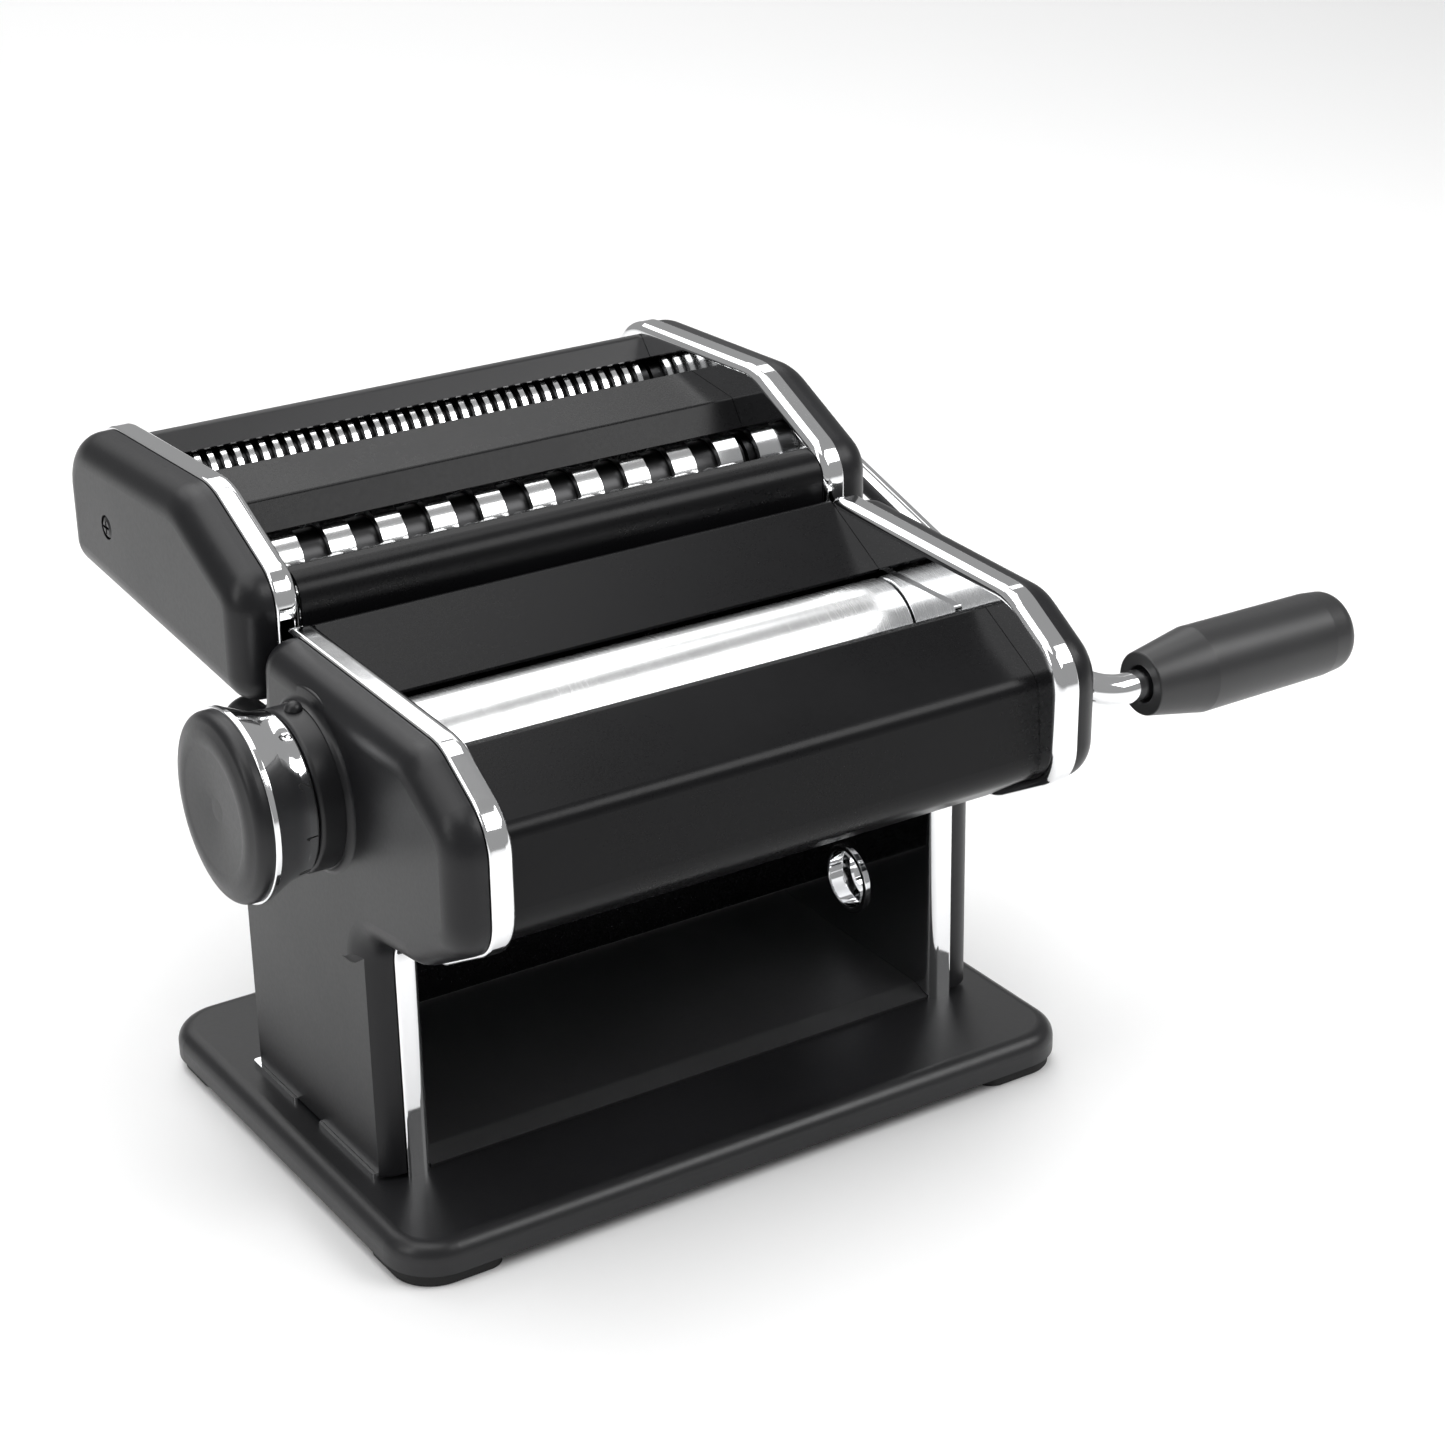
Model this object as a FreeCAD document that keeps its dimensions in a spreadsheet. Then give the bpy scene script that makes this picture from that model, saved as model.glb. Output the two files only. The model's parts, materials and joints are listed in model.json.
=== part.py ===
import FreeCAD, Part
import math
import os
import Sketcher

# Hand-cranked pasta roller machine with a lift-off cutter head, in millimetres.
# +X points to the crank side, -Y to the front cover, +Z up.
# Outlines are drawn from the middle of the base, at the height of the surface it stands on;
# the whole is then shifted so that the origin is the bottom centre of its bounding box.
# Side profiles are drawn in the YZ plane and extruded along X, the axis of every roller.

Vector = FreeCAD.Vector
Rotation = FreeCAD.Rotation
Placement = FreeCAD.Placement

DIMS = {
    # from the middle of the base to the bottom centre of the whole
    "origin_x": 37.0, "origin_y": 14.5,
    # base tray and feet
    "base_half_x": 100.5, "base_half_y": 72.8, "base_under": 3.5, "base_top": 11.7,
    "base_corner": 14.0, "base_edge": 4.5, "base_wall": 2.0,
    "foot_size": 26.0, "foot_inset": 1.8, "foot_corner": 11.0, "foot_plug_inset": 3.0,
    # main side plates
    "main_plate_in": 76.5, "plate_thick": 1.5, "main_flange": 83.3, "sheet": 1.2,
    "bend": 2.6, "flange_edge": 0.7, "tab_thick": 1.3, "tab_out": 90.9,
    "leg_front": 40.3, "leg_rear": 34.0, "leg_root": 79.0, "chin_under": 66.0, "chin_under_z": 82.5,
    "chin_front": 91.5, "chin_z": 96.5, "brow_front": 92.0, "brow_z": 127.5,
    "crown_front": 69.9, "crown_z": 141.2, "crown_rear": 8.5, "crown_rear_z": 143.8,
    "notch_y": 10.0, "notch_z": 127.0, "shelf_front": 16.0, "shelf_z": 117.8,
    "shelf_rear": 48.0, "flare_z": 98.0,
    # main side covers
    "cover_in": 83.5, "cover_out": 92.0, "cover_wall": 3.4, "cover_round": 7.5,
    "leg_step": 2.0, "step_slope": 50.0, "cover_bottom": 13.1, "cover_margin": 0.8,
    # sheet roller pair
    "roller_half": 75.0, "roller_r": 14.5, "journal_r": 6.0, "running": 0.05,
    "rear_axis_y": -20.5, "roller_axis_z": 114.3, "closest_gap": 0.6, "gap_step": 0.4667,
    "steps_in": 5.0, "steps_out": 4.0, "step_angle": 36.0,
    "bush_r": 8.0, "bush_lip": 1.3, "socket_r": 4.2, "socket_depth": 24.0, "shaft_end": 90.8,
    "guide_in": 75.4, "guide_top": 131.0,
    # gears
    "gear_in": 80.0, "gear_face": 6.0, "gear_teeth": 12.0, "gear_pitch_r": 14.7, "cutter_gear_pitch_r": 9.5,
    # gap dial
    "spindle_r": 5.0, "cam_r": 14.5, "cam_near": 84.2, "cam_far": 87.2, "cam_groove": 2.2,
    "cam_pin_r": 1.2, "cam_pin_at": 9.0, "cam_clear": 0.35,
    "boss_out": 93.6, "boss_foot_r": 24.2, "dial_base_r": 20.3, "dial_base_out": 100.0,
    "drum_in": 100.4, "drum_r": 20.3, "drum_rim_r": 24.1, "drum_rim_at": 112.0, "drum_out": 113.4,
    "cap_out": 118.4, "cap_r": 23.5, "cap_dish_r": 16.5,
    # clamp socket in the right leg
    "clamp_y": -1.1, "clamp_z": 33.0, "clamp_lip_r": 10.0, "clamp_tube_r": 9.0, "clamp_bore_r": 7.6,
    # cutter head
    "cutter_plate_in": 77.2, "cutter_flange": 84.0, "cutter_cover_in": 84.2, "cutter_cover_out": 94.5,
    "cutter_cover_round": 8.0, "cutter_cover_wall": 2.2,
    "wide_y": 56.0, "wide_z": 139.6, "narrow_y": 105.4, "narrow_z": 149.0,
    "pair_distance": 19.0, "pair_tilt": 11.8, "disc_r": 10.5, "core_r": 8.0,
    "wide_pitch": 14.9, "wide_disc": 7.15, "wide_count": 10.0,
    "narrow_pitch": 3.8, "narrow_disc": 1.6, "narrow_count": 39.0,
    "hook_y": 19.2, "stud_z": 110.0, "stud_r": 3.0, "hook_thick": 2.5,
    "screw_y": 92.0, "screw_z": 146.0, "screw_r": 2.9,
    # crank
    "rod_r": 4.15, "crank_x": 108.0, "crank_length": 127.5, "crank_bend": 12.0, "crank_tilt": 16.7,
    "crank_tip": 68.0, "grip_start": 124.6, "grip_cone": 142.0, "grip_body": 183.6, "grip_end": 192.4,
    "grip_ring_r": 8.6, "grip_r": 11.8, "grip_cap_r": 11.5,
}

doc = FreeCAD.newDocument("pasta_machine")
sheet = doc.addObject("Spreadsheet::Sheet", "Dims")
for row, (alias, number) in enumerate(DIMS.items(), start=1):
    sheet.set("A%d" % row, alias)
    sheet.set("B%d" % row, repr(number))
    sheet.setAlias("B%d" % row, alias)
doc.recompute()
NODES = []


def dim(alias):
    return float(sheet.get(alias))


# ---------------------------------------------------------------- drawing helpers

def unit(dy, dz):
    size = math.hypot(dy, dz)
    return dy / size, dz / size


def rounded_edges(corners):
    """Lines and arcs of the closed outline whose corners are (u, v, radius)."""
    count = len(corners)
    spans = []
    for i in range(count):
        u, v, radius = corners[i]
        before = corners[i - 1]
        after = corners[(i + 1) % count]
        du, dv = unit(before[0] - u, before[1] - v)
        eu, ev = unit(after[0] - u, after[1] - v)
        cosine = max(-1.0, min(1.0, du * eu + dv * ev))
        half = math.acos(cosine) / 2
        if radius <= 0 or half > math.radians(89.5):
            spans.append((Vector(u, v, 0), None, Vector(u, v, 0)))
            continue
        cut = radius / math.tan(half)
        mu, mv = unit(du + eu, dv + ev)
        reach = radius / math.sin(half) - radius
        start = Vector(u + du * cut, v + dv * cut, 0)
        middle = Vector(u + mu * reach, v + mv * reach, 0)
        end = Vector(u + eu * cut, v + ev * cut, 0)
        spans.append((start, middle, end))
    edges = []
    for i in range(count):
        start, middle, end = spans[i]
        if middle is not None:
            edges.append(Part.Arc(start, middle, end))
        following = spans[(i + 1) % count][0]
        if end.distanceToPoint(following) > 1e-6:
            edges.append(Part.LineSegment(end, following))
    return edges


def inset(corners, distances):
    """The outline moved inward: distances[i] belongs to the side from corner i to corner i+1."""
    count = len(corners)
    area = sum(corners[i][0] * corners[(i + 1) % count][1] - corners[(i + 1) % count][0] * corners[i][1]
               for i in range(count))
    turn = 1 if area > 0 else -1
    lines = []
    for i in range(count):
        a = corners[i]
        b = corners[(i + 1) % count]
        du, dv = unit(b[0] - a[0], b[1] - a[1])
        nu, nv = -dv * turn, du * turn
        lines.append((a[0] + nu * distances[i], a[1] + nv * distances[i], du, dv))
    moved = []
    for i in range(count):
        pu, pv, du, dv = lines[i - 1]
        qu, qv, eu, ev = lines[i]
        cross = du * ev - dv * eu
        step = ((qu - pu) * ev - (qv - pv) * eu) / cross
        convex = cross * turn > 0
        shift = (distances[i - 1] + distances[i]) / 2
        radius = corners[i][2]
        if radius > 0:
            radius = max(radius - shift if convex else radius + shift, 0.3)
        moved.append((pu + du * step, pv + dv * step, radius))
    return moved


def strip(points, thick):
    """Outline of a bent sheet: points are (u, v, radius) along one face, thick to the left of the way."""
    other = []
    last = len(points) - 1
    for i, (u, v, radius) in enumerate(points):
        before = points[max(i - 1, 0)]
        after = points[min(i + 1, last)]
        if i == 0:
            du, dv = unit(after[0] - u, after[1] - v)
            other.append((u - dv * thick, v + du * thick, 0))
            continue
        if i == last:
            du, dv = unit(u - before[0], v - before[1])
            other.append((u - dv * thick, v + du * thick, 0))
            continue
        du, dv = unit(u - before[0], v - before[1])
        eu, ev = unit(after[0] - u, after[1] - v)
        mu, mv = unit(-dv - ev, du + eu)
        grow = thick / (mu * -dv + mv * du)
        left_turn = du * ev - dv * eu > 0
        inner = radius - thick if left_turn else radius + thick
        other.append((u + mu * grow, v + mv * grow, max(inner, 0.2)))
    return list(points) + other[::-1]


def origin_feature(body, role):
    for feature in body.Origin.OriginFeatures:
        if feature.Role == role:
            return feature
    raise ValueError(role)


def new_body(label, kind="PartDesign::Body"):
    body = doc.addObject(kind, label)
    body.Label = label
    body.setExpression("Placement.Base.x", "-Dims.origin_x")
    body.setExpression("Placement.Base.y", "-Dims.origin_y")
    NODES.append(body)
    return body


def new_sketch(body, name, role="YZ_Plane", offset=None):
    sketch = body.newObject("Sketcher::SketchObject", name)
    sketch.AttachmentSupport = [(origin_feature(body, role), "")]
    sketch.MapMode = "FlatFace"
    if offset is not None:
        sketch.setExpression("AttachmentOffset.Base.z", offset)
    return sketch


def draw(sketch, corners):
    sketch.addGeometry(rounded_edges(corners), False)


def draw_circle(sketch, u, v, alias, extra=""):
    """A circle at (u, v) whose radius follows a cell of the sheet."""
    index = sketch.addGeometry(Part.Circle(Vector(u, v, 0), Vector(0, 0, 1), dim(alias)), False)
    number = sketch.addConstraint(Sketcher.Constraint("Radius", index, dim(alias)))
    sketch.setExpression("Constraints[%d]" % number, "Dims.%s%s" % (alias, extra))


def extrude(body, kind, sketch, length, backwards=False):
    """A Pad or Pocket of the sketch; length is an expression on the sheet."""
    feature = body.newObject("PartDesign::" + kind, kind + "_" + sketch.Name)
    feature.Profile = sketch
    feature.setExpression("Length", length)
    feature.Reversed = backwards
    doc.recompute()
    return feature


def revolve(body, sketch, kind="Revolution"):
    feature = body.newObject("PartDesign::" + kind, kind + "_" + sketch.Name)
    feature.Profile = sketch
    feature.ReferenceAxis = (sketch, ["H_Axis"])
    feature.Angle = 360
    doc.recompute()
    return feature


def pattern(body, original, count, length):
    """Repeats a feature along X."""
    feature = body.newObject("PartDesign::LinearPattern", "Row_" + original.Name)
    feature.Originals = [original]
    feature.Direction = (origin_feature(body, "X_Axis"), [""])
    feature.setExpression("Length", length)
    feature.Occurrences = int(round(count))
    body.Tip = feature
    doc.recompute()
    return feature


def ring_pattern(body, original, count):
    """Repeats a feature around X."""
    feature = body.newObject("PartDesign::PolarPattern", "Ring_" + original.Name)
    feature.Originals = [original]
    feature.Axis = (origin_feature(body, "X_Axis"), [""])
    feature.Angle = 360
    feature.Occurrences = int(round(count))
    body.Tip = feature
    doc.recompute()
    return feature


def round_edges(body, feature, alias, wanted, kind="Fillet"):
    """Fillets the feature's edges for which wanted(edge) is true."""
    names = []
    for number, edge in enumerate(feature.Shape.Edges, start=1):
        if wanted(edge):
            names.append("Edge%d" % number)
    dress = body.newObject("PartDesign::" + kind, kind + "_" + feature.Name)
    dress.Base = (feature, names)
    dress.setExpression("Radius" if kind == "Fillet" else "Size", "Dims." + alias)
    doc.recompute()
    return dress


def in_plane(edge, axis, value):
    box = edge.BoundBox
    low, high = {"x": (box.XMin, box.XMax), "y": (box.YMin, box.YMax), "z": (box.ZMin, box.ZMax)}[axis]
    return abs(low - value) < 0.01 and abs(high - value) < 0.01


def signed(side, expression):
    return expression if side > 0 else "-(%s)" % expression


def side_name(side):
    return "right" if side > 0 else "left"


def place(obj, y, z, turn=None):
    """Moves an object that is drawn around the X axis to the axis it turns on."""
    if turn is not None:
        obj.setExpression("Placement.Rotation.Angle", turn)
        obj.Placement.Rotation = Rotation(Vector(1, 0, 0), 1)
        obj.setExpression("Placement.Rotation.Angle", turn)
    obj.setExpression("Placement.Base.y", "%s - Dims.origin_y" % y)
    obj.setExpression("Placement.Base.z", z)


# ---------------------------------------------------------------- shared outlines

def main_outline(rear_round):
    """Side view of the machine body, front to the left, from the leg's front foot round by the top."""
    return [
        (-dim("leg_front"), dim("base_top"), 0),
        (-dim("leg_front"), dim("leg_root"), 8),
        (-dim("chin_under"), dim("chin_under_z"), 14),
        (-dim("chin_front"), dim("chin_z"), 13),
        (-dim("brow_front"), dim("brow_z"), 15),
        (-dim("crown_front"), dim("crown_z"), 17),
        (dim("crown_rear"), dim("crown_rear_z"), rear_round),
        (dim("notch_y"), dim("notch_z"), 4),
        (dim("shelf_front"), dim("shelf_z"), 4),
        (dim("shelf_rear"), dim("shelf_z"), 9),
        (dim("leg_rear"), dim("flare_z"), 12),
        (dim("leg_rear"), dim("base_top"), 0),
    ]


def cutter_outline():
    """Side view of the cutter head, from the lower front corner round by the top."""
    return [
        (11.3, 119.6, 9),
        (10.9, 152.9, 12),
        (45.9, 169.6, 22),
        (121.0, 167.4, 17),
        (121.0, 127.6, 9),
    ]


# the flange is missing where the head and the body meet, and where the leg stands on the base
MAIN_FLANGED = (1, 1, 1, 1, 1, 1, 0, 0, 0, 1, 1, 0)
CUTTER_FLANGED = (1, 1, 1, 1, 0)


def travel_in():
    """How far the rear roller moves towards the front one from the setting it is drawn at."""
    return dim("steps_in") * dim("gap_step")


def travel_out():
    return dim("steps_out") * dim("gap_step")


def front_axis_y():
    return dim("rear_axis_y") - 2 * dim("roller_r") - dim("closest_gap") - travel_in()


FRONT_AXIS = "Dims.rear_axis_y - 2 * Dims.roller_r - Dims.closest_gap - Dims.steps_in * Dims.gap_step"


def cutter_axes():
    """Centre of each cutting roller: the front one of a pair lies forward of and below the rear one."""
    tilt = math.radians(dim("pair_tilt"))
    back = dim("pair_distance") * math.cos(tilt)
    drop = dim("pair_distance") * math.sin(tilt)
    return {
        "wide_cutter_rear": (dim("wide_y"), dim("wide_z")),
        "wide_cutter_front": (dim("wide_y") - back, dim("wide_z") - drop),
        "narrow_cutter_rear": (dim("narrow_y"), dim("narrow_z")),
        "narrow_cutter_front": (dim("narrow_y") - back, dim("narrow_z") - drop),
    }


CUTTER_AXIS = {}
for pair in ("wide", "narrow"):
    CUTTER_AXIS[pair + "_cutter_rear"] = ("Dims.%s_y" % pair, "Dims.%s_z" % pair)
    CUTTER_AXIS[pair + "_cutter_front"] = (
        "Dims.%s_y - Dims.pair_distance * cos(Dims.pair_tilt * 1 deg)" % pair,
        "Dims.%s_z - Dims.pair_distance * sin(Dims.pair_tilt * 1 deg)" % pair)


# ---------------------------------------------------------------- base

def base_corners(margin, radius):
    far_x = dim("base_half_x") - margin
    far_y = dim("base_half_y") - margin
    return [(-far_x, -far_y, radius), (far_x, -far_y, radius),
            (far_x, far_y, radius), (-far_x, far_y, radius)]


def build_base_plate():
    body = new_body("base_plate")
    tray = new_sketch(body, "base_plan", "XY_Plane", "Dims.base_under")
    draw(tray, base_corners(0, dim("base_corner")))
    solid = extrude(body, "Pad", tray, "Dims.base_top - Dims.base_under")
    solid = round_edges(body, solid, "base_edge", lambda edge: in_plane(edge, "z", dim("base_top")))
    hollow = new_sketch(body, "base_hollow", "XY_Plane", "Dims.base_under")
    draw(hollow, base_corners(dim("base_wall"), dim("base_corner") - dim("base_wall")))
    extrude(body, "Pocket", hollow, "Dims.base_top - Dims.base_under - Dims.base_wall", True)


def build_feet():
    """Rubber pads under the corners, each with a plug that fills the hollow of the tray above it."""
    for side_x in (-1, 1):
        for side_y in (-1, 1):
            depth = "front" if side_y < 0 else "rear"
            body = new_body("foot_%s_%s" % (depth, side_name(side_x)))
            pad = new_sketch(body, "pad", "XY_Plane")
            outer_x = side_x * (dim("base_half_x") - dim("foot_inset"))
            outer_y = side_y * (dim("base_half_y") - dim("foot_inset"))
            inner_x = outer_x - side_x * dim("foot_size")
            inner_y = outer_y - side_y * dim("foot_size")
            corner = dim("foot_corner")
            draw(pad, [(outer_x, outer_y, corner), (outer_x, inner_y, 5),
                       (inner_x, inner_y, 5), (inner_x, outer_y, 5)])
            solid = extrude(body, "Pad", pad, "Dims.base_under")
            plug = new_sketch(body, "plug", "XY_Plane", "Dims.base_under")
            step = dim("foot_plug_inset")
            draw(plug, [(outer_x - side_x * step, outer_y - side_y * step, corner - step),
                        (outer_x - side_x * step, inner_y + side_y * step, 3),
                        (inner_x + side_x * step, inner_y + side_y * step, 3),
                        (inner_x + side_x * step, outer_y - side_y * step, 3)])
            extrude(body, "Pad", plug, "Dims.base_top - Dims.base_under - Dims.base_wall")


# ---------------------------------------------------------------- side plates and covers

def flanged_plate(label, side, corners, flanged, near, far):
    """A pressed plate: a flat web with a flange turned outward along part of its outline."""
    body = new_body(label)
    blank = new_sketch(body, "blank", offset=signed(side, "Dims." + near))
    draw(blank, corners)
    solid = extrude(body, "Pad", blank, "Dims.%s - Dims.%s" % (far, near), side < 0)

    def along_flange(edge):
        middle = edge.BoundBox.Center
        for index, has_flange in enumerate(flanged):
            a = corners[index]
            b = corners[(index + 1) % len(corners)]
            du, dv = unit(b[0] - a[0], b[1] - a[1])
            gap = abs((middle.y - a[0]) * dv - (middle.z - a[1]) * du)
            way = (middle.y - a[0]) * du + (middle.z - a[1]) * dv
            if gap < 0.01 and 0 < way < math.hypot(b[0] - a[0], b[1] - a[1]):
                return bool(has_flange)
        return True

    solid = round_edges(body, solid, "bend",
                        lambda edge: in_plane(edge, "x", side * dim(near)) and along_flange(edge))
    pan = new_sketch(body, "pan", offset=signed(side, "Dims.%s + Dims.plate_thick" % near))
    distances = [dim("plate_thick") if has_flange else -6.0 for has_flange in flanged]
    draw(pan, inset(corners, distances))
    pressed = extrude(body, "Pocket", pan, "Dims.%s - Dims.%s" % (far, near), side > 0)
    outline = [line.toShape() for line in rounded_edges(corners)]

    def flange_edge(edge):
        if not in_plane(edge, "x", side * dim(far)):
            return False
        middle = edge.valueAt((edge.FirstParameter + edge.LastParameter) / 2)
        spot = Part.Vertex(middle.y, middle.z, 0)
        return edge.Length > 2.0 and min(line.distToShape(spot)[0] for line in outline) < 0.01

    round_edges(body, pressed, "flange_edge", flange_edge)
    return body


def build_side_plate(side):
    body = flanged_plate("side_plate_" + side_name(side), side, main_outline(4.5), MAIN_FLANGED,
                         "main_plate_in", "main_flange")
    tabs = new_sketch(body, "foot_tabs", "XY_Plane", "Dims.base_top")
    near = side * (dim("main_plate_in") + 0.2)
    far = side * dim("tab_out")
    rear = dim("leg_rear")
    front = -dim("leg_front") + 4.7
    for start, end in ((front, front + 31.0), (rear - 25.0, rear)):
        draw(tabs, [(near, start, 0), (far, start, 1), (far, end, 1), (near, end, 0)])
    extrude(body, "Pad", tabs, "Dims.tab_thick")
    holes = new_sketch(body, "holes", offset=signed(side, "Dims.main_plate_in"))
    draw_circle(holes, front_axis_y(), dim("roller_axis_z"), "bush_r")
    slot_half = dim("bush_r") + 0.35
    axis = dim("rear_axis_y")
    middle = dim("roller_axis_z")
    draw(holes, [(axis - travel_in() - slot_half, middle - slot_half, 1),
                 (axis + travel_out() + slot_half, middle - slot_half, 1),
                 (axis + travel_out() + slot_half, middle + slot_half, 1),
                 (axis - travel_in() - slot_half, middle + slot_half, 1)])
    for y, z in TIE_RODS:
        holes.addGeometry(Part.Circle(Vector(y, z, 0), Vector(0, 0, 1), TIE_THREAD_R), False)
    if side > 0:
        draw_circle(holes, dim("clamp_y"), dim("clamp_z"), "clamp_tube_r")
    extrude(body, "Pocket", holes, "Dims.plate_thick + 0.5", side > 0)


TIE_RODS = ((-76.0, 108.0), (3.0, 103.0))
TIE_R = 3.0
TIE_THREAD_R = 2.4


def shell_cover(label, side, corners, wall, near, far, round_alias, bottom=None):
    """A hollow cover: outline extruded outward, soft outer edge, then hollowed to the wall thickness."""
    body = new_body(label)
    blank = new_sketch(body, "blank", offset=signed(side, "Dims." + near))
    draw(blank, corners)
    solid = extrude(body, "Pad", blank, "Dims.%s - Dims.%s" % (far, near), side < 0)

    def soft(edge):
        if not in_plane(edge, "x", side * dim(far)):
            return False
        return bottom is None or not in_plane(edge, "z", bottom)

    round_edges(body, solid, round_alias, soft)
    cavity = new_sketch(body, "cavity", offset=signed(side, "Dims." + near))
    draw(cavity, inset(corners, [dim(wall)] * len(corners)))
    extrude(body, "Pocket", cavity, "Dims.%s - Dims.%s - Dims.cover_wall" % (far, near), side > 0)
    return body


def build_side_cover(side):
    corners = main_outline(9.5)
    corners = inset(corners, [dim("cover_margin")] * len(corners))
    corners[0] = (corners[0][0], dim("cover_bottom"), 0)
    corners[-1] = (corners[-1][0], dim("cover_bottom"), 0)
    body = shell_cover("side_cover_" + side_name(side), side, corners, "cover_wall", "cover_in", "cover_out",
                       "cover_round", dim("cover_bottom"))
    # the leg's face lies a little lower than the head's, below a short slope
    step = new_sketch(body, "leg_face", offset=signed(side, "Dims.cover_out"))
    draw(step, [(60.0, 0.0, 0), (-60.0, 0.0, 0), (-60.0, 80.0, 0), (-42.0, 80.0, 3), (-30.0, 72.0, 8),
                (60.0, 72.0, 0)])
    slope = extrude(body, "Pocket", step, "Dims.leg_step", side < 0)
    slope.TaperAngle = -dim("step_slope")
    doc.recompute()
    if side < 0:
        add_dial_boss(body)
    holes = new_sketch(body, "holes", offset=signed(side, "Dims.cover_in"))
    if side > 0:
        draw_circle(holes, front_axis_y(), dim("roller_axis_z"), "bush_r")
        draw_circle(holes, dim("clamp_y"), dim("clamp_z"), "clamp_tube_r")
    else:
        draw_circle(holes, dim("rear_axis_y"), dim("roller_axis_z"), "spindle_r", " + 0.5")
    extrude(body, "Pocket", holes, "Dims.boss_out - Dims.cover_in + 2", side > 0)


def add_dial_boss(body):
    """Round boss on the left cover that flares into its face and carries the dial ring."""
    half = new_sketch(body, "boss_section", "XY_Plane", "Dims.roller_axis_z")
    half.setExpression("AttachmentOffset.Base.y", "Dims.rear_axis_y")
    under = 2.5 - dim("cover_out")
    radius = dim("dial_base_r")
    foot = dim("boss_foot_r")
    bore = dim("spindle_r") + 0.5
    draw(half, [(under, bore, 0), (under, foot, 0), (0.5 - dim("cover_out"), foot, 0.6),
                (-dim("cover_out") - 0.4, radius + 0.4, 1.8), (-dim("boss_out"), radius + 0.3, 0),
                (-dim("boss_out"), bore, 0)])
    revolve(body, half)


def build_cutter_plate(side):
    body = flanged_plate("cutter_plate_" + side_name(side), side, cutter_outline(), CUTTER_FLANGED,
                         "cutter_plate_in", "cutter_flange")
    holes = new_sketch(body, "holes", offset=signed(side, "Dims.cutter_plate_in"))
    for y, z in cutter_axes().values():
        draw_circle(holes, y, z, "journal_r", " + Dims.running")
    for y, z in CUTTER_TIE_RODS:
        holes.addGeometry(Part.Circle(Vector(y, z, 0), Vector(0, 0, 1), TIE_THREAD_R), False)
    extrude(body, "Pocket", holes, "Dims.plate_thick + 0.5", side > 0)


CUTTER_TIE_RODS = ((17.5, 137.5), (112.0, 132.0))


def build_cutter_cover(side):
    corners = inset(cutter_outline(), [dim("cover_margin")] * len(cutter_outline()))
    body = shell_cover("cutter_cover_" + side_name(side), side, corners, "cutter_cover_wall", "cutter_cover_in",
                       "cutter_cover_out", "cutter_cover_round")
    dish = new_sketch(body, "screw_dish", offset=signed(side, "Dims.cutter_cover_out"))
    draw_circle(dish, dim("screw_y"), dim("screw_z"), "screw_r", " + 0.4")
    extrude(body, "Pocket", dish, "1.4", side < 0)
    holes = new_sketch(body, "holes", offset=signed(side, "Dims.cutter_cover_in"))
    centre = Vector(dim("screw_y"), dim("screw_z"), 0)
    holes.addGeometry(Part.Circle(centre, Vector(0, 0, 1), SCREW_SHANK_R), False)
    if side > 0:
        for name in ("wide_cutter_rear", "narrow_cutter_rear"):
            y, z = cutter_axes()[name]
            draw_circle(holes, y, z, "bush_r")
    extrude(body, "Pocket", holes, "Dims.cutter_cover_out - Dims.cutter_cover_in + 2", side > 0)


SCREW_SHANK_R = 1.7


# ---------------------------------------------------------------- bent sheets between the plates

def bent_sheet(label, points, thick, half_width):
    """A sheet bent along the given side view, as wide as the space between the plates."""
    body = new_body(label)
    section = new_sketch(body, "section", offset="-(%s)" % half_width)
    draw(section, strip(points, thick))
    extrude(body, "Pad", section, "2 * (%s)" % half_width)
    return body


def build_main_sheets():
    thick = dim("sheet")
    width = "Dims.main_plate_in - 0.1"
    # front cover: lip, sloping brow, upright front and chin, drawn from the lip downward
    bent_sheet("front_cover", [(-58.2, 133.4, 0), (-61.6, 134.3, 0.9), (-83.3, 121.8, 5), (-85.4, 97.0, 9),
                               (-63.6, 82.65, 0)], thick, width)
    # rear panel: feed slope, step down under the cutter head, upright back
    bent_sheet("rear_panel", [(32.0, 16.4, 0), (32.0, 96.0, 8), (9.4, 114.0, 8), (8.4, 143.6, 1.6),
                              (-15.5, 130.15, 0)], thick, width)
    bent_sheet("dough_tray", [(-38.6, dim("base_top"), 0), (-33.0, 13.6, 2.5), (31.9, 15.0, 0)], 1.0, width)
    bent_sheet("front_scraper", [(-61.9, 83.8, 0), (-55.9, 99.3, 0)], 0.8, width)
    bent_sheet("rear_scraper", [(-17.0, 98.6, 0), (6.0, 98.6, 2), (30.2, 79.3, 0)], 0.8, width)


def build_cutter_sheets():
    thick = 1.0
    width = "Dims.cutter_plate_in - 0.1"
    bent_sheet("cutter_rear_wall", [(117.4, 131.0, 0), (118.4, 158.0, 8), (104.2, 165.3, 2), (99.2, 159.4, 0)],
               thick, width)
    bent_sheet("cutter_divider", [(79.8, 155.9, 0), (77.6, 161.0, 1.3), (55.9, 158.4, 1.3), (50.9, 151.2, 0)],
               thick, width)
    bent_sheet("cutter_nose", [(26.0, 146.6, 0), (20.0, 154.0, 2), (11.5, 152.2, 7), (11.9, 131.0, 5),
                               (24.0, 124.6, 0)], thick, width)


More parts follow.
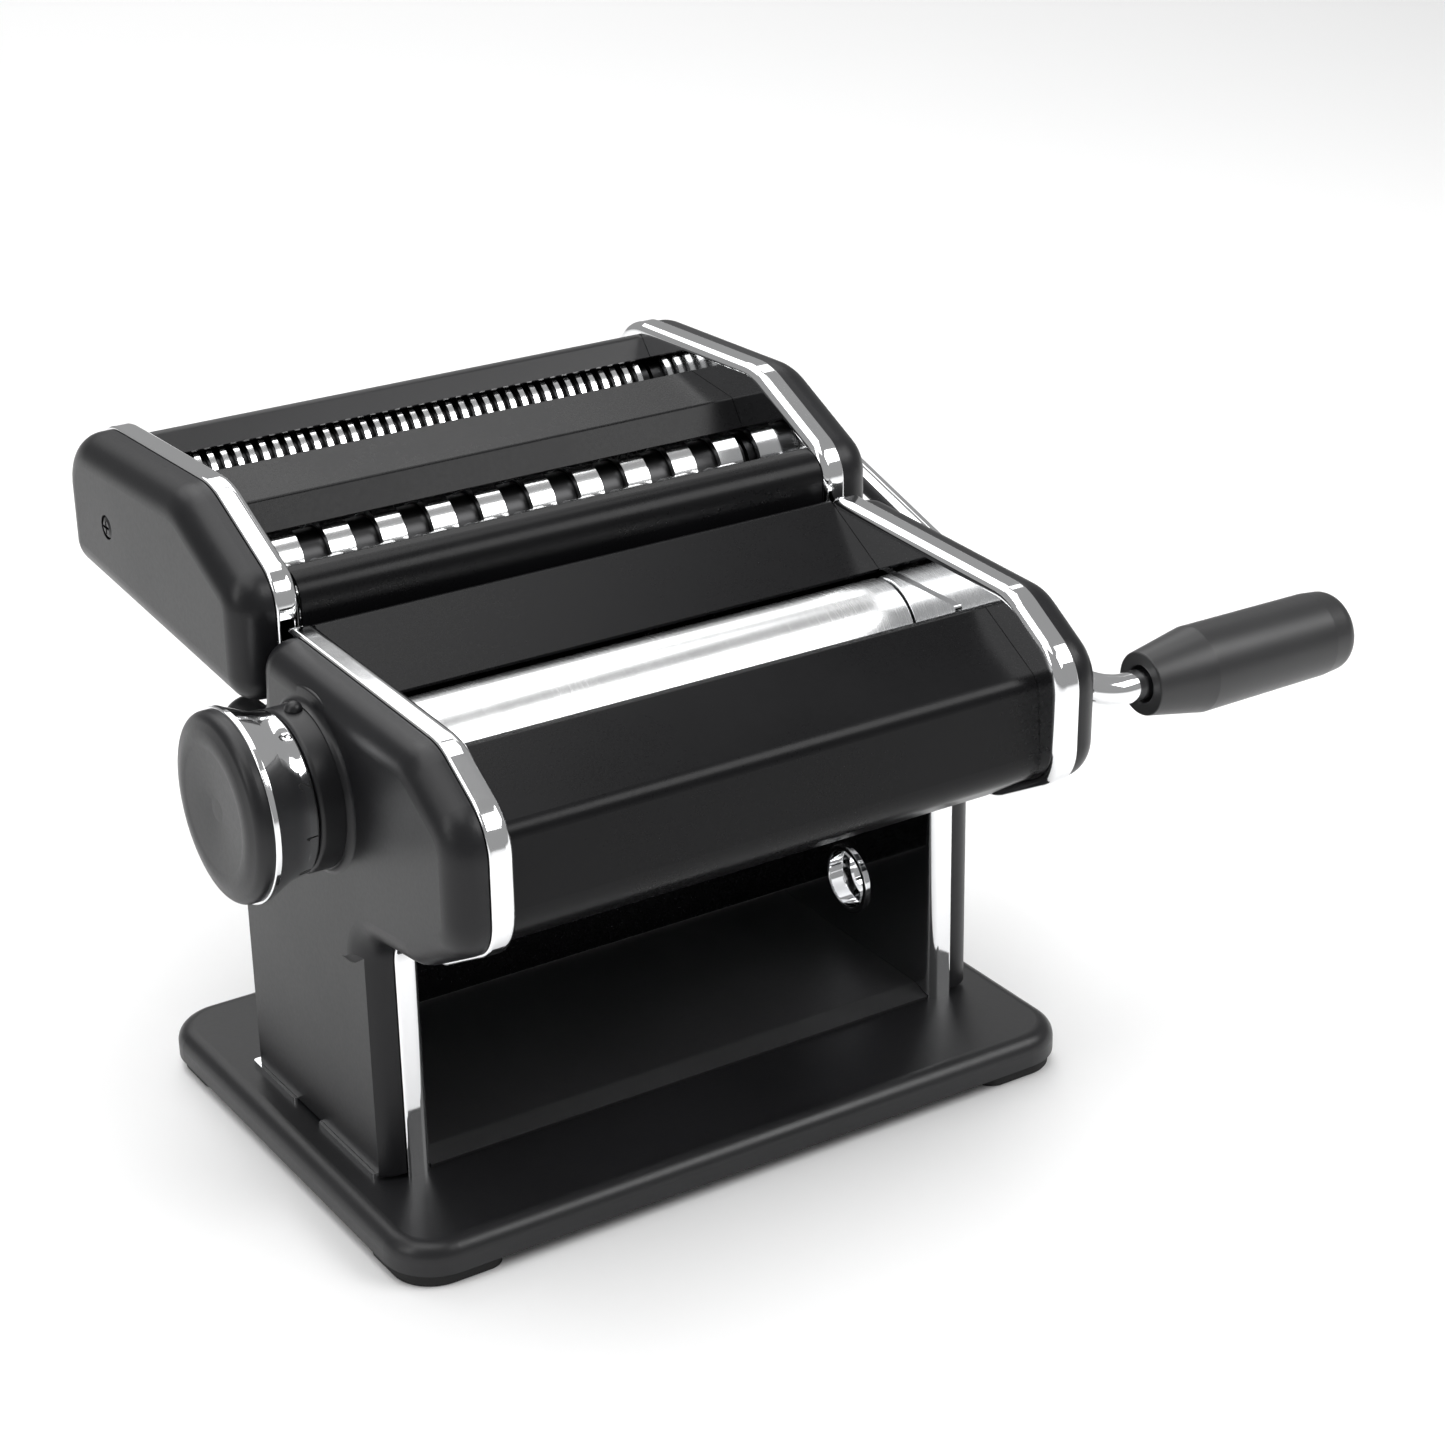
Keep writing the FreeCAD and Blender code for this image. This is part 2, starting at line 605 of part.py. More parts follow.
def build_end_guides():
    """Wedges of plate beside the roller ends that keep the dough off the side plates."""
    for side in (-1, 1):
        body = new_body("end_guide_" + side_name(side))
        face = new_sketch(body, "face", offset=signed(side, "Dims.guide_in"))
        top = dim("guide_top")
        draw(face, [(-50.5, top, 1), (-17.0, top, 1), (-17.0, 126.5, 1), (-27.0, 122.0, 4), (-35.5, 108.0, 1),
                    (-38.0, 108.0, 1), (-46.0, 122.0, 4), (-50.5, 126.5, 1)])
        extrude(body, "Pad", face, "Dims.main_plate_in - Dims.guide_in", side < 0)


# ---------------------------------------------------------------- fasteners and fixed fittings

def rod_shape(y, z, half, neck_half):
    """A spacer rod between the plates with a thinner threaded end through each of them."""
    core = Part.makeCylinder(TIE_R, 2 * half, Vector(-half, y, z), Vector(1, 0, 0))
    neck = Part.makeCylinder(TIE_THREAD_R, 2 * neck_half, Vector(-neck_half, y, z), Vector(1, 0, 0))
    return core.fuse(neck).removeSplitter()


def nut_shape(y, z, near, thick):
    """A hexagon nut on a threaded end; near is signed and thick points outward."""
    start = Vector(near, y, z)
    corners = [start + Vector(0, 4.2 * math.cos(math.radians(60 * k)), 4.2 * math.sin(math.radians(60 * k)))
               for k in range(7)]
    outward = math.copysign(thick, near)
    prism = Part.Face(Part.makePolygon(corners)).extrude(Vector(outward, 0, 0))
    bore = Part.makeCylinder(TIE_THREAD_R, 3 * thick, start - Vector(outward, 0, 0), Vector(outward, 0, 0))
    return prism.cut(bore)


def shape_node(label, shape):
    node = new_body(label, "Part::Feature")
    node.Shape = shape
    node.setExpression("Placement.Base.z", "0")
    return node


def build_tie_rods():
    half = dim("main_plate_in")
    outer = half + dim("plate_thick")
    shape_node("tie_rods", Part.makeCompound([rod_shape(y, z, half, outer + 3.0) for y, z in TIE_RODS]))
    nuts = [nut_shape(y, z, side * outer, 2.2) for y, z in TIE_RODS for side in (-1, 1)]
    shape_node("tie_rod_nuts", Part.makeCompound(nuts))
    half = dim("cutter_plate_in")
    outer = half + dim("plate_thick")
    shape_node("cutter_tie_rods", Part.makeCompound([rod_shape(y, z, half, outer + 3.0)
                                                     for y, z in CUTTER_TIE_RODS]))
    nuts = [nut_shape(y, z, side * outer, 2.2) for y, z in CUTTER_TIE_RODS for side in (-1, 1)]
    shape_node("cutter_tie_nuts", Part.makeCompound(nuts))


def build_bushes():
    """Flanged bearing rings of the front roller, pressed into both plates."""
    rings = []
    for side in (-1, 1):
        way = Vector(side, 0, 0)
        centre = Vector(side * dim("main_plate_in"), front_axis_y(), dim("roller_axis_z"))
        barrel = Part.makeCylinder(dim("bush_r"), dim("plate_thick"), centre, way)
        lip = Part.makeCylinder(dim("bush_r") + 1.5, dim("bush_lip"), centre + way * dim("plate_thick"), way)
        bore = Part.makeCylinder(dim("journal_r") + dim("running"), 10, centre - way, way)
        rings.append(barrel.fuse(lip).cut(bore).removeSplitter())
    shape_node("roller_bushes", Part.makeCompound(rings))


def build_hook_studs():
    studs = []
    for side in (-1, 1):
        near = dim("main_plate_in") + dim("plate_thick")
        studs.append(Part.makeCylinder(dim("stud_r"), dim("hook_thick") + 1.6,
                                       Vector(side * near, dim("hook_y"), dim("stud_z")), Vector(side, 0, 0)))
    shape_node("hook_studs", Part.makeCompound(studs))


def build_cutter_hooks():
    """Forked lugs on the head that drop over the studs of the body and lift straight off them."""
    for side in (-1, 1):
        body = new_body("cutter_hook_" + side_name(side))
        lug = new_sketch(body, "lug", offset=signed(side, "Dims.cutter_plate_in + Dims.plate_thick"))
        y = dim("hook_y")
        z = dim("stud_z")
        slot = dim("stud_r") + 0.4
        draw(lug, [(y - 6, 127.0, 1), (y - 6, z - 5, 1), (y - slot, z - 5, 1), (y - slot, z + slot, slot - 0.01),
                   (y + slot, z + slot, slot - 0.01), (y + slot, z - 5, 1), (y + 6, z - 5, 1), (y + 6, 127.0, 1)])
        extrude(body, "Pad", lug, "Dims.hook_thick", side < 0)


def build_clamp_bush():
    """Tube with a rolled lip through the right leg, which takes the hook of a table clamp."""
    body = new_body("clamp_bush")
    half_section = new_sketch(body, "half_section", "XY_Plane")
    near = dim("main_plate_in")
    bore = dim("clamp_bore_r")
    far = dim("cover_out") + 0.4
    draw(half_section, [(near - 1.0, bore + 0.6, 0.5), (near - 1.0, dim("clamp_lip_r"), 0.5),
                        (near, dim("clamp_lip_r"), 0), (near, dim("clamp_tube_r"), 0),
                        (far, dim("clamp_tube_r"), 0), (far, bore, 0), (near + 6.0, bore, 0),
                        (near + 4.0, bore + 0.9, 0.5)])
    revolve(body, half_section)
    place(body, "Dims.clamp_y", "Dims.clamp_z")


def build_cutter_screws():
    """Domed cross-head screws, one in the dish of each cutter cover."""
    screws = []
    for side in (-1, 1):
        way = Vector(side, 0, 0)
        seat = Vector(side * (dim("cutter_cover_out") - 1.4), dim("screw_y"), dim("screw_z"))
        head = Part.makeCylinder(dim("screw_r"), 1.0, seat, way)
        head = head.fuse(Part.makeCone(dim("screw_r"), dim("screw_r") - 1.0, 0.5, seat + way, way))
        shank = Part.makeCylinder(SCREW_SHANK_R, 6.0, seat - way * 6.0, way)
        solid = head.fuse(shank)
        for turn in (0, 90):
            slot = Part.makeBox(1.4, 3.6, 0.8, Vector(-0.7, -1.8, -0.4))
            slot.rotate(Vector(0, 0, 0), Vector(1, 0, 0), turn)
            slot.translate(seat + way * 1.4)
            solid = solid.cut(slot)
        screws.append(solid.removeSplitter())
    shape_node("cutter_cover_screws", Part.makeCompound(screws))


# ---------------------------------------------------------------- rollers and gears

def build_sheet_roller(label, axis_y, left_end, right_end, socket):
    """A plain roller with a journal at each end; the driven one has a crank socket."""
    body = new_body(label)
    half = new_sketch(body, "half_section", "XY_Plane")
    barrel = dim("roller_half")
    radius = dim("roller_r")
    journal = dim("journal_r")
    draw(half, [(left_end, 0, 0), (left_end, journal, 0.6), (-barrel, journal, 0), (-barrel, radius, 0.5),
                (barrel, radius, 0.5), (barrel, journal, 0), (right_end, journal, 0.6), (right_end, 0, 0)])
    revolve(body, half)
    if socket:
        cut_socket(body)
    place(body, axis_y, "Dims.roller_axis_z")


def cut_socket(body):
    mouth = new_sketch(body, "socket", offset="Dims.shaft_end")
    draw_circle(mouth, 0, 0, "socket_r")
    extrude(body, "Pocket", mouth, "Dims.socket_depth")


def involute(base_r, radius):
    """Polar angle of the involute of a circle where it has reached a radius."""
    opening = math.sqrt(max((radius / base_r) ** 2 - 1, 0))
    return opening - math.atan(opening)


PRESSURE = math.radians(27)
BACKLASH = 0.35


def tooth_corners(pitch_r, teeth, tip_r, root_r):
    """One gear tooth along +u, with involute flanks between the root and the tip."""
    base_r = pitch_r * math.cos(PRESSURE)
    half_thick = math.pi / (2 * teeth) - BACKLASH / (2 * pitch_r)
    at_pitch = involute(base_r, pitch_r)
    flank = []
    steps = 6
    start = max(base_r, root_r)
    for k in range(steps + 1):
        radius = start + (tip_r - start) * k / steps
        angle = half_thick + at_pitch - involute(base_r, radius)
        flank.append((radius, angle))
    foot = (root_r - 0.5, flank[0][1])
    upper = [foot] + flank
    corners = [(r * math.cos(a), r * math.sin(a), 0) for r, a in upper]
    lower = [(r * math.cos(a), -r * math.sin(a), 0) for r, a in reversed(upper)]
    return corners + lower


def build_gear(label, axis, side, pitch_alias, tip_over, root_under, bore_alias, phase):
    """A spur gear on the roller's journal, in the hollow between plate and cover."""
    body = new_body(label)
    near = signed(side, "Dims.gear_in")
    pitch_r = dim(pitch_alias)
    teeth = int(dim("gear_teeth"))
    root = new_sketch(body, "root_disc", offset=near)
    root_r = pitch_r - root_under
    root.addGeometry(Part.Circle(Vector(0, 0, 0), Vector(0, 0, 1), root_r), False)
    extrude(body, "Pad", root, "Dims.gear_face", side < 0)
    tooth = new_sketch(body, "tooth", offset=near)
    draw(tooth, tooth_corners(pitch_r, teeth, pitch_r + tip_over, root_r))
    one = extrude(body, "Pad", tooth, "Dims.gear_face", side < 0)
    ring_pattern(body, one, teeth)
    bore = new_sketch(body, "bore", offset=near)
    draw_circle(bore, 0, 0, bore_alias)
    extrude(body, "Pocket", bore, "Dims.gear_face", side > 0)
    place(body, axis[0], axis[1], "%g deg" % phase)


def build_main_rollers():
    end = dim("shaft_end")
    build_sheet_roller("front_roller", FRONT_AXIS, -80.6, end, True)
    build_sheet_roller("rear_roller", "Dims.rear_axis_y", -80.6, 86.4, False)
    half_tooth = 180.0 / dim("gear_teeth")
    build_gear("front_roller_gear", (FRONT_AXIS, "Dims.roller_axis_z"), 1, "gear_pitch_r", 2.45, 2.75,
               "journal_r", 0)
    build_gear("rear_roller_gear", ("Dims.rear_axis_y", "Dims.roller_axis_z"), 1, "gear_pitch_r", 2.45, 2.75,
               "journal_r", 180 + half_tooth)


def build_cutter_roller(label, pitch_alias, disc_alias, count, first, left_end, right_end, socket):
    """A cutting roller: a core with square discs that run in the gaps of its neighbour."""
    body = new_body(label)
    core = new_sketch(body, "half_section", "XY_Plane")
    half = dim("cutter_plate_in") - 0.6
    journal = dim("journal_r")
    draw(core, [(left_end, 0, 0), (left_end, journal, 0.5), (-half, journal, 0), (-half, dim("core_r"), 0),
                (half, dim("core_r"), 0), (half, journal, 0), (right_end, journal, 0.5), (right_end, 0, 0)])
    revolve(body, core)
    disc = new_sketch(body, "disc", offset="%s - Dims.%s / 2" % (first, disc_alias))
    draw_circle(disc, 0, 0, "disc_r")
    one = extrude(body, "Pad", disc, "Dims." + disc_alias)
    pattern(body, one, count, "Dims.%s * %d" % (pitch_alias, count - 1))
    if socket:
        cut_socket(body)
    place(body, *CUTTER_AXIS[label])


def build_cutter_rollers():
    wide = int(dim("wide_count"))
    narrow = int(dim("narrow_count"))
    end = dim("shaft_end")
    build_cutter_roller("wide_cutter_rear", "wide_pitch", "wide_disc", wide,
                        "-Dims.wide_pitch * (%d - 1) / 2 + Dims.wide_pitch / 4" % wide, -86.4, end, True)
    build_cutter_roller("wide_cutter_front", "wide_pitch", "wide_disc", wide,
                        "-Dims.wide_pitch * (%d - 1) / 2 - Dims.wide_pitch / 4" % wide, -86.4, 80.4, False)
    build_cutter_roller("narrow_cutter_rear", "narrow_pitch", "narrow_disc", narrow,
                        "-Dims.narrow_pitch * (%d - 1) / 2" % narrow, -86.4, end, True)
    build_cutter_roller("narrow_cutter_front", "narrow_pitch", "narrow_disc", narrow + 1,
                        "-Dims.narrow_pitch * %d / 2" % narrow, -86.4, 80.4, False)
    half_tooth = 180.0 / dim("gear_teeth")
    for pair in ("wide", "narrow"):
        facing = 180 + dim("pair_tilt")
        build_gear(pair + "_gear_rear", CUTTER_AXIS[pair + "_cutter_rear"], -1, "cutter_gear_pitch_r",
                   1.2, 1.6, "journal_r", facing)
        build_gear(pair + "_gear_front", CUTTER_AXIS[pair + "_cutter_front"], -1, "cutter_gear_pitch_r",
                   1.2, 1.6, "journal_r", facing + 180 + half_tooth)


def build_comb(label, roller, pitch_alias, count, first, finger_thick, outward):
    """Fingers that lie in the gaps of one cutting roller and lift the strands off its core."""
    body = new_body(label)
    y, z = cutter_axes()[roller]
    angle = math.radians(outward)
    away = (math.cos(angle), math.sin(angle))
    across = (-away[1], away[0])

    def at(distance, shift, radius=0):
        return (y + away[0] * distance + across[0] * shift, z + away[1] * distance + across[1] * shift, radius)

    near = dim("core_r") + 0.5
    rail = dim("disc_r") + 0.9
    bar = new_sketch(body, "bar", offset="-(Dims.cutter_plate_in - 0.1)")
    draw(bar, [at(rail, -2.5), at(rail, 2.5), at(rail + 1.6, 2.5), at(rail + 1.6, -2.5)])
    extrude(body, "Pad", bar, "2 * (Dims.cutter_plate_in - 0.1)")
    finger = new_sketch(body, "finger", offset="%s - %g" % (first, finger_thick / 2))
    draw(finger, [at(near, -1.6), at(near, 1.6), at(rail + 0.8, 1.6), at(rail + 0.8, -1.6)])
    one = extrude(body, "Pad", finger, "%g" % finger_thick)
    pattern(body, one, count, "Dims.%s * %d" % (pitch_alias, count - 1))


def build_combs():
    wide = int(dim("wide_count"))
    narrow = int(dim("narrow_count"))
    build_comb("wide_comb_rear", "wide_cutter_rear", "wide_pitch", wide,
               "-Dims.wide_pitch * (%d - 1) / 2 - Dims.wide_pitch / 4" % wide, 1.2, -50)
    build_comb("wide_comb_front", "wide_cutter_front", "wide_pitch", wide,
               "-Dims.wide_pitch * (%d - 1) / 2 + Dims.wide_pitch / 4" % wide, 1.2, -150)
    build_comb("narrow_comb_rear", "narrow_cutter_rear", "narrow_pitch", narrow + 1,
               "-Dims.narrow_pitch * %d / 2" % narrow, 0.8, -50)
    build_comb("narrow_comb_front", "narrow_cutter_front", "narrow_pitch", narrow,
               "-Dims.narrow_pitch * (%d - 1) / 2" % narrow, 0.8, -150)


# ---------------------------------------------------------------- gap setting

def build_gap_blocks():
    """Bearing blocks of the rear roller, free to slide fore and aft in the plates' slots."""
    for side in (-1, 1):
        way = Vector(side, 0, 0)
        axis = Vector(0, dim("rear_axis_y"), dim("roller_axis_z"))
        half = dim("bush_r")
        inner = dim("main_plate_in") + 0.1
        face = dim("main_plate_in") + dim("plate_thick") + 0.3
        foot = Part.makeBox(face - inner, 2 * half, 2 * half,
                            Vector(inner if side > 0 else -face, -half, -half))
        wide = half + 3.0
        cheek = Part.makeBox(1.4, 2 * wide, 2 * wide,
                             Vector(face if side > 0 else -face - 1.4, -wide, -wide))
        solid = foot.fuse(cheek)
        solid.translate(axis)
        bore = Part.makeCylinder(dim("journal_r") + dim("running"), 20, axis + way * 70, way)
        solid = solid.cut(bore)
        if side < 0:
            start = axis + Vector(-face - 1.0, dim("cam_pin_at"), 0)
            reach = dim("cam_near") + dim("cam_groove") - dim("cam_clear") - face - 1.0
            solid = solid.fuse(Part.makeCylinder(dim("cam_pin_r"), reach, start, way))
        shape_node("gap_block_" + side_name(side), solid.removeSplitter())


def spiral_groove():
    """The cam's groove as a solid: a ribbon whose radius grows evenly with the angle."""
    spare = math.radians(14)
    first = -math.radians(dim("steps_in") * dim("step_angle")) - spare
    last = math.radians(dim("steps_out") * dim("step_angle")) + spare
    rate = dim("gap_step") / math.radians(dim("step_angle"))
    width = dim("cam_pin_r") + dim("cam_clear")

    def rail(offset):
        points = []
        for k in range(25):
            angle = first + (last - first) * k / 24
            radius = dim("cam_pin_at") + rate * angle + offset
            points.append(Vector(0, radius * math.cos(angle), radius * math.sin(angle)))
        curve = Part.BSplineCurve()
        curve.interpolate(points)
        return curve.toShape(), points[0], points[-1]

    outer, outer_start, outer_end = rail(width)
    inner, inner_start, inner_end = rail(-width)
    last_side = Part.makeLine(outer_end, inner_end)
    first_side = Part.makeLine(inner_start, outer_start)
    wire = Part.Wire([outer, last_side, inner, first_side])
    groove = Part.Face(wire).extrude(Vector(-dim("cam_groove") - 1, 0, 0))
    groove.translate(Vector(-dim("cam_near") + 1, 0, 0))
    return groove


def build_gap_spindle():
    """Spindle with the spiral cam that shifts the left bearing block; the knob slides on its outer end."""
    left = Vector(-1, 0, 0)
    cam = Part.makeCylinder(dim("cam_r"), dim("cam_far") - dim("cam_near"), Vector(-dim("cam_near"), 0, 0), left)
    shaft_out = dim("cap_out") - 6.0
    shaft = Part.makeCylinder(dim("spindle_r"), shaft_out - dim("cam_far"), Vector(-dim("cam_far"), 0, 0), left)
    solid = cam.fuse(shaft).cut(spiral_groove())
    flat = Part.makeBox(shaft_out - dim("dial_base_out"), 12, 4,
                        Vector(-shaft_out, -6, dim("spindle_r") - 1.2))
    node = shape_node("gap_spindle", solid.cut(flat).removeSplitter())
    place(node, "Dims.rear_axis_y", "Dims.roller_axis_z")


def build_dial_base():
    """Fixed ring on the left cover that carries the spindle and the pointer."""
    body = new_body("dial_base")
    half = new_sketch(body, "half_section", "XY_Plane")
    bore = dim("spindle_r") + dim("running")
    near = -dim("boss_out")
    far = -dim("dial_base_out")
    radius = dim("dial_base_r")
    draw(half, [(near, bore, 0), (near, radius, 0), (far, radius, 1.2), (far, bore, 0)])
    revolve(body, half)
    place(body, "Dims.rear_axis_y", "Dims.roller_axis_z")
    pointer = new_body("dial_pointer", "Part::Sphere")
    pointer.Radius = 2.2
    pointer.Angle1 = 0
    pointer.setExpression("Placement.Base.x", "4.2 - Dims.dial_base_out - Dims.origin_x")
    place(pointer, "Dims.rear_axis_y", "Dims.roller_axis_z + Dims.dial_base_r")


def build_knob():
    """Chrome number drum and black cap; they pull outward together against the spindle's flat."""
    body = new_body("dial_drum")
    half = new_sketch(body, "half_section", "XY_Plane")
    near = -dim("drum_in")
    rim = -dim("drum_rim_at")
    far = -dim("drum_out")
    draw(half, [(near, 9.0, 0), (near, dim("drum_r"), 0.8), (near - 4.5, dim("drum_r") + 0.5, 12),
                (rim, dim("drum_rim_r"), 0.4), (far, dim("drum_rim_r"), 0.4), (far, dim("cap_r"), 0),
                (rim, dim("cap_r"), 0), (rim, 9.0, 0)])
    revolve(body, half)
    place(body, "Dims.rear_axis_y", "Dims.roller_axis_z")

    body = new_body("knob_cap")
    half = new_sketch(body, "half_section", "XY_Plane")
    out = -dim("cap_out")
    bore = dim("spindle_r") + dim("running")
    floor = -dim("cap_out") + 4.0
    draw(half, [(near, bore, 0), (near, 9.0, 0), (rim, 9.0, 0), (rim, dim("cap_r"), 0),
                (out + 1.6, dim("cap_r"), 2.6),
                (out, dim("cap_dish_r") + 1.5, 8), (out + 0.3, dim("cap_dish_r") - 1.0, 3), (out + 1.3, 3.0, 0),
                (out + 1.3, 0, 0), (floor, 0, 0), (floor, bore, 0)])
    revolve(body, half)
    key = new_sketch(body, "drive_flat", "YZ_Plane", "-Dims.dial_base_out - 0.4")
    reach = dim("spindle_r")
    flat = dim("spindle_r") - 1.2 + dim("running")
    draw(key, [(-reach, flat, 0), (reach, flat, 0), (reach, reach + 0.5, 0), (-reach, reach + 0.5, 0)])
    extrude(body, "Pad", key, "Dims.cap_out - Dims.dial_base_out - 4.4", True)
    place(body, "Dims.rear_axis_y", "Dims.roller_axis_z")


# ---------------------------------------------------------------- crank

def build_crank():
    """Bent round rod: drive end in the socket, long arm, then the pin the grip turns on."""
    body = new_body("crank_rod")
    path = new_sketch(body, "path", "XY_Plane")
    far = dim("crank_x")
    arm = -dim("crank_length")
    bend = dim("crank_bend")
    tip = dim("crank_tip")
    end = dim("grip_body") - 6.0
    corner = bend * (1 - math.sqrt(0.5))
    path.addGeometry([
        Part.LineSegment(Vector(tip, 0, 0), Vector(far - bend, 0, 0)),
        Part.Arc(Vector(far - bend, 0, 0), Vector(far - corner, -corner, 0), Vector(far, -bend, 0)),
        Part.LineSegment(Vector(far, -bend, 0), Vector(far, arm + bend, 0)),
        Part.Arc(Vector(far, arm + bend, 0), Vector(far + corner, arm + corner, 0), Vector(far + bend, arm, 0)),
        Part.LineSegment(Vector(far + bend, arm, 0), Vector(end, arm, 0)),
    ], False)
    ring = new_sketch(body, "section", "YZ_Plane", "Dims.crank_tip")
    draw_circle(ring, 0, 0, "rod_r")
    pipe = body.newObject("PartDesign::AdditivePipe", "rod")
    pipe.Profile = ring
    pipe.Spine = path
    doc.recompute()
    place(body, "Dims.wide_y", "Dims.wide_z", "Dims.crank_tilt * 1 deg")


def build_grip():
    """Turning grip of the crank: bored metal body and a separate end cap."""
    start = dim("grip_start")
    cone = dim("grip_cone")
    end = dim("grip_body")
    outer = dim("grip_r")
    ring = dim("grip_ring_r")
    bore = dim("rod_r") + dim("running")
    y = "Dims.wide_y - Dims.crank_length * cos(Dims.crank_tilt * 1 deg)"
    z = "Dims.wide_z - Dims.crank_length * sin(Dims.crank_tilt * 1 deg)"
    body = new_body("crank_grip")
    half = new_sketch(body, "half_section", "XY_Plane")
    draw(half, [(start, bore + 0.9, 0.4), (start, ring, 0.5), (cone, outer, 1.5), (end, outer - 0.3, 0),
                (end, bore, 0), (start + 9.0, bore, 0), (start + 8.0, bore + 0.9, 0)])
    revolve(body, half)
    place(body, y, z)
    body = new_body("grip_end_cap")
    half = new_sketch(body, "half_section", "XY_Plane")
    cap = dim("grip_cap_r")
    tip = dim("grip_end")
    draw(half, [(end, 0, 0), (end, cap, 0), (tip, cap - 0.9, 4.5), (tip, 0, 0)])
    revolve(body, half)
    place(body, y, z)


# ---------------------------------------------------------------- build and export

build_base_plate()
build_feet()
for hand in (-1, 1):
    build_side_plate(hand)
    build_side_cover(hand)
    build_cutter_plate(hand)
    build_cutter_cover(hand)
build_main_sheets()
build_cutter_sheets()
build_end_guides()
build_tie_rods()
build_bushes()
build_hook_studs()
build_cutter_hooks()
build_clamp_bush()
build_cutter_screws()
build_main_rollers()
build_cutter_rollers()
build_combs()
build_gap_blocks()
build_gap_spindle()
build_dial_base()
build_knob()
build_crank()
build_grip()
doc.recompute()

for thing in doc.Objects:
    if "Invalid" in thing.State or "Error" in thing.State:
        raise RuntimeError("%s failed: %s" % (thing.Name, thing.State))
os.makedirs("parts", exist_ok=True)
for node in NODES:
    shape = node.Shape
    if shape.isNull() or not shape.isValid() or shape.Volume <= 0:
        raise RuntimeError("%s has no valid solid" % node.Label)
    shape.exportStep(os.path.join("parts", node.Label + ".step"))
    box = shape.BoundBox
    print("%-22s solids %d volume %9.1f  x %7.1f %7.1f  y %7.1f %7.1f  z %6.1f %6.1f" % (
        node.Label, len(shape.Solids), shape.Volume, box.XMin, box.XMax, box.YMin, box.YMax, box.ZMin, box.ZMax))
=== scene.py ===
import json
import math

import bpy
from mathutils import Matrix, Vector


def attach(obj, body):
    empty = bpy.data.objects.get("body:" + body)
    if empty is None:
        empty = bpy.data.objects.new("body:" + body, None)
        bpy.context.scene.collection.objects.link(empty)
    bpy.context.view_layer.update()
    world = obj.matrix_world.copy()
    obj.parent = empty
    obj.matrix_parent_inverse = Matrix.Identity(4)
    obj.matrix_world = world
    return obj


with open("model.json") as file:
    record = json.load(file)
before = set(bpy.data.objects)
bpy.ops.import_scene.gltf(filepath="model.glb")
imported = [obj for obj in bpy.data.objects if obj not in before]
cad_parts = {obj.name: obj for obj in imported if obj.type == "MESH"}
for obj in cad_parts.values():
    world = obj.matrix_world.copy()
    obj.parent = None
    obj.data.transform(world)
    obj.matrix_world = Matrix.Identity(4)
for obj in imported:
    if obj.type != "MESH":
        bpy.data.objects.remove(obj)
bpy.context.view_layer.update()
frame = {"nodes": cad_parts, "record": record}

NODES = frame["nodes"]
# the middle of the base in the row frame: places below are measured from it, in metres
MID = Vector((-0.0370, -0.0145, 0.0))


# ------------------------------------------------------------------ camera, light and floor

CAMERA_TURN = tuple(math.radians(angle) for angle in (-32.424, 23.799, -1.057))
CAMERA_PLACE = Vector((-0.37515, -0.64823, 0.42901))
FOCAL_PER_WIDTH = 3151.8 / 1445.0
SENSOR_WIDTH = 36.0


def build_camera():
    """Camera at the front left, looking down; the turn is its azimuth, elevation and roll."""
    azimuth, elevation, roll = CAMERA_TURN
    back = Vector((math.sin(azimuth) * math.cos(elevation), -math.cos(azimuth) * math.cos(elevation),
                   math.sin(elevation)))
    right = (-back).cross(Vector((0, 0, 1))).normalized()
    up = right.cross(-back)
    side = right * math.cos(roll) + up * math.sin(roll)
    top = up * math.cos(roll) - right * math.sin(roll)
    data = bpy.data.cameras.new("camera")
    data.sensor_width = SENSOR_WIDTH
    data.lens = FOCAL_PER_WIDTH * SENSOR_WIDTH
    data.clip_start, data.clip_end = 0.01, 20.0
    camera = bpy.data.objects.new("camera", data)
    turn = Matrix((side, top, back)).transposed()
    camera.matrix_world = Matrix.Translation(MID + CAMERA_PLACE) @ turn.to_4x4()
    bpy.context.scene.collection.objects.link(camera)
    bpy.context.scene.camera = camera


WORLD_STRENGTH = 0.33
# soft boxes: name, place and aim from the middle of the base, size in metres, power in watts
SOFT_BOXES = [
    ("top_box", (-0.1, 0.1, 1.1), (0, 0, 0), (1.3, 0.9), 9.5),
    ("key_box", (0.75, -0.8, 1.05), (0, 0, 0.1), (0.9, 0.6), 9.0),
    ("left_box", (-1.1, -0.1, 0.75), (0, 0, 0.08), (0.3, 0.8), 3.0),
    ("back_box", (0.3, 1.9, 1.7), (0.3, 1.9, 0), (2.6, 1.8), 27.0),
]


def add_area(name, place, aim, size, power):
    data = bpy.data.lights.new(name, "AREA")
    data.shape = "RECTANGLE"
    data.size, data.size_y = size
    data.energy = power
    lamp = bpy.data.objects.new(name, data)
    lamp.location = MID + Vector(place)
    lamp.rotation_mode = "QUATERNION"
    lamp.rotation_quaternion = (MID + Vector(aim) - lamp.location).to_track_quat("-Z", "Y")
    bpy.context.scene.collection.objects.link(lamp)


def build_light():
    world = bpy.data.worlds.new("studio")
    world.use_nodes = True
    world.node_tree.nodes["Background"].inputs["Color"].default_value = (1, 1, 1, 1)
    world.node_tree.nodes["Background"].inputs["Strength"].default_value = WORLD_STRENGTH
    bpy.context.scene.world = world
    bpy.context.scene.view_settings.view_transform = "Standard"
    for box in SOFT_BOXES:
        add_area(*box)


# ------------------------------------------------------------------ materials

